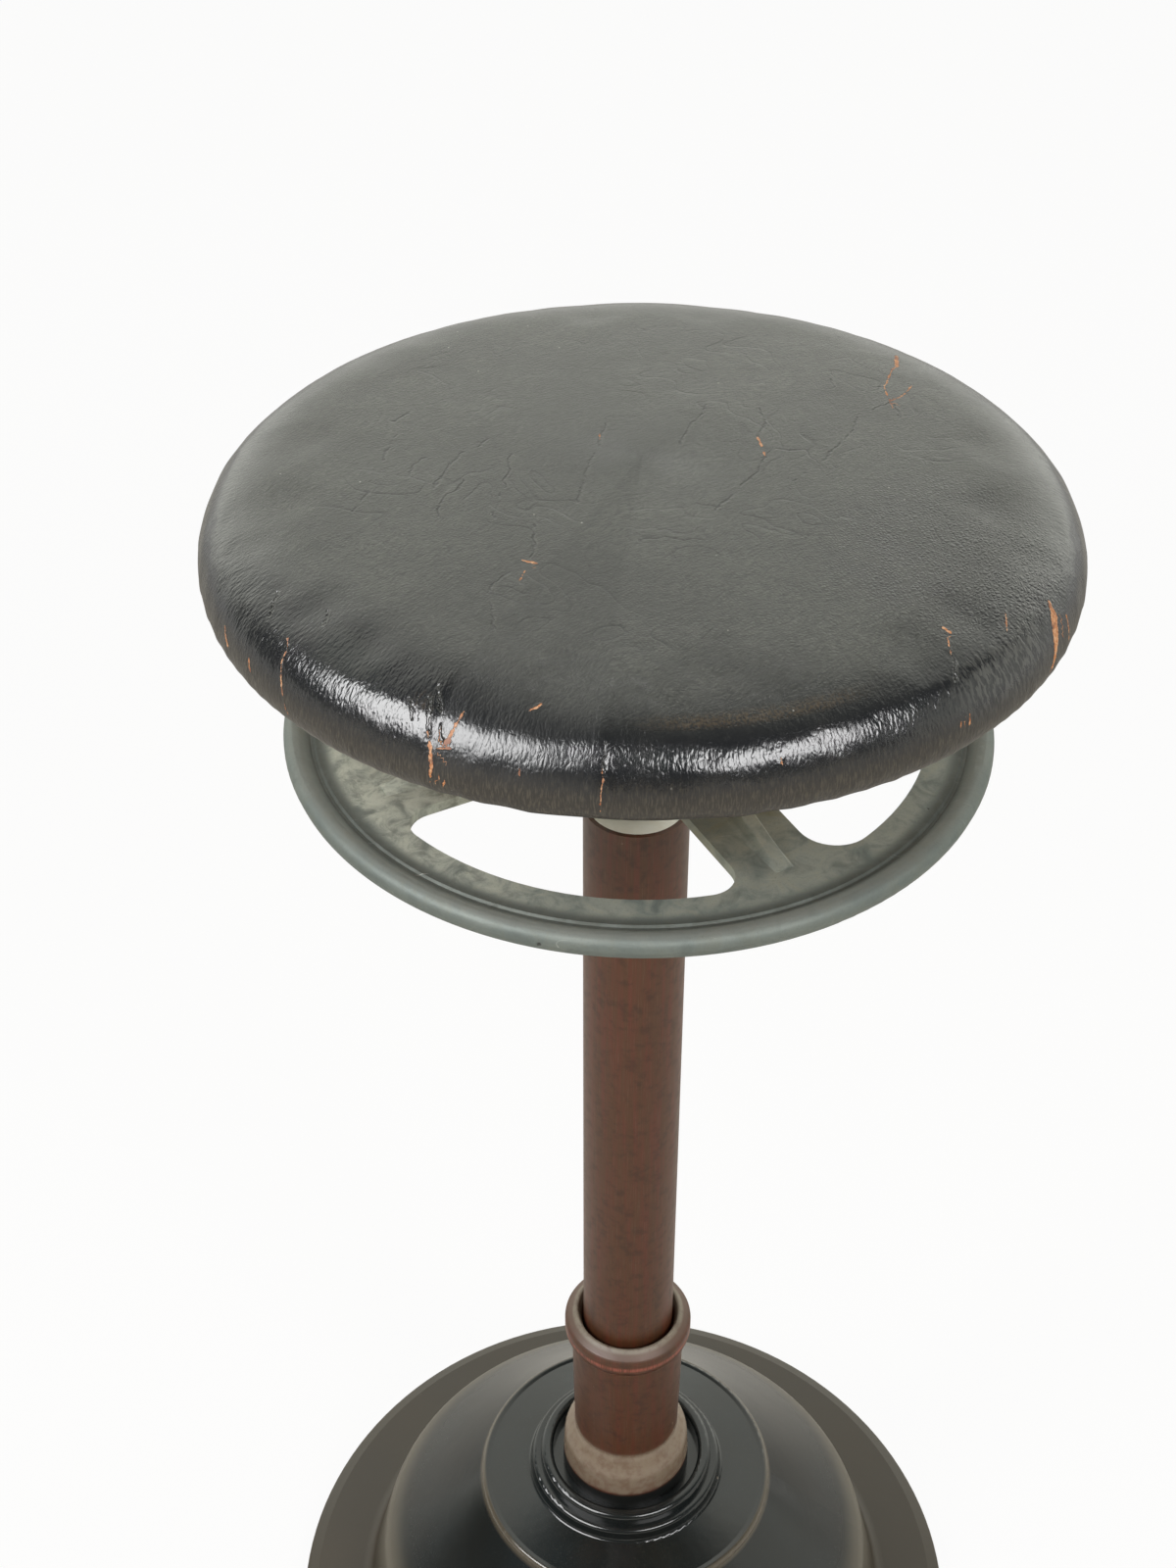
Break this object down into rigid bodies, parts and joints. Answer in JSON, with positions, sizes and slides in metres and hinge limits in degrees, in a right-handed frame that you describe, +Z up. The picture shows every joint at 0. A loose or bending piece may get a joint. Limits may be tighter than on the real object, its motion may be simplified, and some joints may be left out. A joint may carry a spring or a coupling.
{
  "type": "dental stool",
  "caption": "Round leather-topped dental stool on a single column with a weighted bell base, raised and lowered by a spoked handwheel under a seat that swivels.",
  "frame": {"origin": "on the floor, at the column's axis, which is the centre of the base's foot", "axes": "+Z up along the column, +X to the right and -Y towards the camera of the picture"},
  "size_m": [0.3582, 0.3582, 0.7303],
  "materials": {
    "black_enamel": "gloss black enamel on cast iron",
    "brown_lacquer": "mahogany brown lacquer, worn",
    "machined_steel": "machined, dulled",
    "cast_aluminium": "aged, grey-green patina",
    "bearing_brass": "machined brass",
    "black_leather": "black leather, worn and cracked",
    "stuffing": "cotton and hair stuffing",
    "beech_board": "oiled wood"
  },
  "bodies": {
    "column": {"base_casting": "black_enamel", "column_socket": "brown_lacquer", "socket_washer": "machined_steel", "socket_ring_nut": "machined_steel", "socket_grub_screw": "machined_steel", "column_tube": "brown_lacquer", "spindle_nut": "machined_steel", "nut_lock_pin": "machined_steel"},
    "ball_cage": {"ball_cage": "bearing_brass", "thrust_balls": "machined_steel"},
    "spindle": {"spindle": "machined_steel", "guide_disc": "bearing_brass", "spindle_end_screw": "machined_steel", "handwheel": "cast_aluminium", "handwheel_pin": "machined_steel", "lower_race": "machined_steel", "pivot_washer": "machined_steel", "pivot_nut": "machined_steel"},
    "seat": {"upper_race": "machined_steel", "seat_flange": "black_enamel", "pivot_bush": "bearing_brass", "flange_screws": "machined_steel", "seat_board": "beech_board", "seat_pad": "stuffing", "leather_cover": "black_leather", "cover_tacks": "machined_steel"}
  },
  "joints": [
    {"name": "seat_lift", "type": "slide", "parent": "column", "child": "ball_cage", "axis": [0, 0, 1], "range_m": [-0.02, 0.1]},
    {"name": "handwheel_turn", "type": "hinge", "parent": "ball_cage", "child": "spindle", "pos_m": [0, 0, 0.612], "axis": [0, 0, 1], "range_deg": [-1200, 6000]},
    {"name": "seat_swivel", "type": "hinge", "parent": "ball_cage", "child": "seat", "pos_m": [0, 0, 0.66], "axis": [0, 0, 1], "continuous": true}
  ],
  "couplings": [
    {"joint": "seat_lift", "follows": "handwheel_turn", "m_per_rad": 0.00095492}
  ]
}
